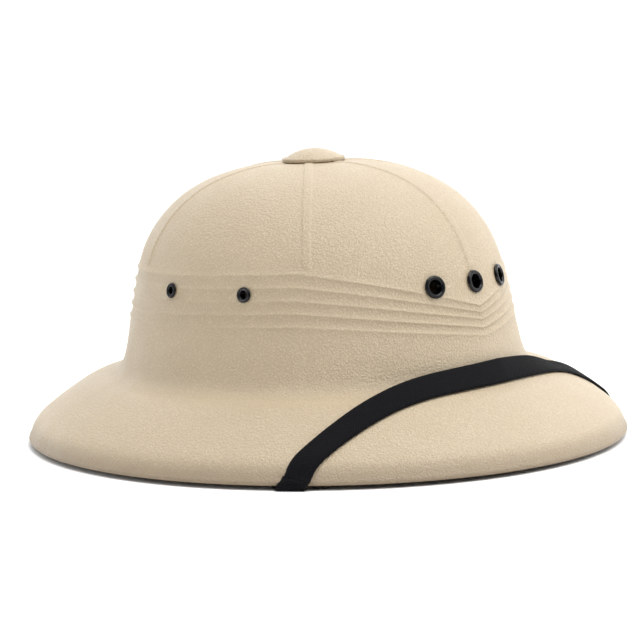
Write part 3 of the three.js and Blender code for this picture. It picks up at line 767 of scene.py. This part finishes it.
def black_webbing():
    """Tightly woven matt black webbing: fine twill across the strap."""
    shader = Shader("black_webbing")
    place = shader.add("ShaderNodeUVMap", uv_map="webbing").outputs["UV"]
    parts = shader.add("ShaderNodeSeparateXYZ", {"Vector": place})
    along, across = parts.outputs["X"], parts.outputs["Y"]
    pitch = 2 * math.pi / 0.0011
    zigzag = shader.math("ABSOLUTE", across, 0.0)
    slant = shader.math("ADD", along, shader.math("MULTIPLY", zigzag, 0.8))
    twill = shader.math("SINE", shader.math("MULTIPLY", slant, pitch), 0.0)
    threads = shader.math("SINE", shader.math("MULTIPLY", across, 2 * math.pi / 0.0009), 0.0)
    weave = shader.math("ADD", twill, shader.math("MULTIPLY", threads, 0.5))
    fuzz = shader.noise(shader.add("ShaderNodeTexCoord").outputs["Object"], 2500.0, 3.0)
    height = shader.math("ADD", weave, fuzz)
    shade = shader.remap(weave, -1.5, 1.5, 0.0, 1.0)
    colour = shader.mix(shade, (0.0015, 0.0015, 0.002, 1), (0.006, 0.006, 0.0075, 1))
    normal = shader.bump(height, 0.00012, 0.7)
    shader.set(Base_Color=colour, Roughness=0.85, Normal=normal, Specular_IOR_Level=0.1)
    shader.set(Sheen_Weight=0.02, Sheen_Roughness=0.4)
    return shader.material


def plain_metal():
    shader = Shader("satin_metal")
    place = shader.add("ShaderNodeTexCoord").outputs["Object"]
    rough = shader.remap(shader.noise(place, 1200.0, 3.0), 0.3, 0.7, 0.28, 0.42)
    normal = shader.bump(shader.noise(place, 800.0), 0.00004, 0.3)
    shade = shader.remap(shader.noise(place, 200.0), 0.3, 0.7, 0.0, 1.0)
    colour = shader.mix(shade, (0.45, 0.45, 0.46, 1), (0.58, 0.58, 0.59, 1))
    shader.set(Base_Color=colour, Roughness=rough, Normal=normal, Metallic=1.0)
    return shader.material


# ---------- Studio ----------


def pale_floor():
    shader = Shader("pale_floor")
    place = shader.add("ShaderNodeTexCoord").outputs["Object"]
    tint = shader.remap(shader.noise(place, 3.0), 0.3, 0.7, 0.0, 1.0)
    shader.set(Base_Color=shader.mix(tint, (0.93, 0.93, 0.93, 1), (0.95, 0.95, 0.95, 1)), Roughness=0.9)
    mesh = bpy.data.meshes.new("floor")
    size = 12.0
    corners = [(-size, -size, 0), (size, -size, 0), (size, size, 0), (-size, size, 0)]
    mesh.from_pydata(corners, [], [(0, 1, 2, 3)])
    mesh.materials.append(shader.material)
    floor = bpy.data.objects.new("floor", mesh)
    bpy.context.scene.collection.objects.link(floor)


def soft_light(name, place, aim, size, power, tint=(1, 1, 1)):
    data = bpy.data.lights.new(name, "AREA")
    data.shape = "RECTANGLE"
    data.size, data.size_y = size
    data.energy = power
    data.color = tint
    lamp = bpy.data.objects.new(name, data)
    lamp.location = place
    lamp.rotation_euler = (Vector(aim) - Vector(place)).to_track_quat("-Z", "Y").to_euler()
    lamp.visible_camera = False
    bpy.context.scene.collection.objects.link(lamp)


CAMERA_AZIMUTH = math.radians(-48.45)
CAMERA_ELEVATION = math.radians(7.48)
CAMERA_ROLL = math.radians(-2.76)
CAMERA_DISTANCE = 1.2375
CAMERA_LENS = 139.8
CAMERA_TARGET_HEIGHT = 0.060
AIM_DOWN = 0.005
AIM_RIGHT = 0.0013


def camera_axes():
    azimuth, elevation = CAMERA_AZIMUTH, CAMERA_ELEVATION
    back = Vector((
        math.sin(azimuth) * math.cos(elevation),
        -math.cos(azimuth) * math.cos(elevation),
        math.sin(elevation),
    ))
    right = Vector((math.cos(azimuth), math.sin(azimuth), 0))
    return back, right, back.cross(right)


def make_camera():
    back, right, up = camera_axes()
    target = Vector((0, 0, CAMERA_TARGET_HEIGHT + RIM_LIFT * MM))
    place = target + back * CAMERA_DISTANCE
    aim = target - up * AIM_DOWN + right * AIM_RIGHT
    look = (place - aim).normalized()
    side = Vector((0, 0, 1)).cross(look).normalized()
    turned_axes = Matrix((side, look.cross(side), look)).transposed().to_4x4()
    data = bpy.data.cameras.new("camera")
    data.lens = CAMERA_LENS
    data.sensor_width = 36
    data.clip_end = 100
    camera = bpy.data.objects.new("camera", data)
    camera.matrix_world = Matrix.Translation(place) @ turned_axes @ Matrix.Rotation(CAMERA_ROLL, 4, "Z")
    bpy.context.scene.collection.objects.link(camera)
    bpy.context.scene.camera = camera


def make_world():
    """A white room: bright overhead and behind the helmet, and dim low down in front and to the left."""
    world = bpy.data.worlds.new("studio")
    world.use_nodes = True
    nodes, links = world.node_tree.nodes, world.node_tree.links
    background = nodes["Background"]
    back, right, _ = camera_axes()
    front = Vector((back.x, back.y, 0)).normalized()
    dim_side = (front - right * WORLD_TURN - Vector((0, 0, WORLD_TILT))).normalized()
    direction = nodes.new("ShaderNodeTexCoord").outputs["Generated"]
    facing = nodes.new("ShaderNodeVectorMath")
    facing.operation = "DOT_PRODUCT"
    facing.inputs[1].default_value = dim_side
    links.new(direction, facing.inputs[0])
    ramp = nodes.new("ShaderNodeMapRange")
    ramp.interpolation_type = "SMOOTHSTEP"
    ramp.inputs["From Min"].default_value = -0.55
    ramp.inputs["From Max"].default_value = 0.35
    ramp.inputs["To Min"].default_value = WORLD_BRIGHT
    ramp.inputs["To Max"].default_value = WORLD_DIM
    links.new(facing.outputs["Value"], ramp.inputs["Value"])
    links.new(ramp.outputs["Result"], background.inputs["Strength"])
    background.inputs["Color"].default_value = (1, 1, 1, 1)
    bpy.context.scene.world = world


WORLD_TURN = 0.55
WORLD_TILT = 0.6
WORLD_BRIGHT = 1.7
WORLD_DIM = 0.14


def camera_side_place(right_share, up, back_share):
    """A place for a lamp, from the camera's right, upwards, and towards the camera."""
    back, right, _ = camera_axes()
    flat_back = Vector((back.x, back.y, 0)).normalized()
    return right * right_share + flat_back * back_share + Vector((0, 0, up))


def make_lights():
    middle = (0, 0, 0.08)
    soft_light("overhead", camera_side_place(0.4, 1.6, 0.4), middle, (1.2, 1.2), 20)
    soft_light("left_panel", camera_side_place(-1.3, 0.5, 0.75), middle, (0.3, 0.9), 5)
    soft_light("right_panel", camera_side_place(1.3, 1.2, 0.6), middle, (0.7, 0.9), 4)


make_camera()
khaki = moulded_shell()
make_shell(khaki)
make_button(khaki)
make_eyelets(black_enamel())
make_strap(black_webbing())
make_pins(plain_metal())
pale_floor()
make_world()
make_lights()
bpy.context.scene.view_settings.view_transform = "Standard"
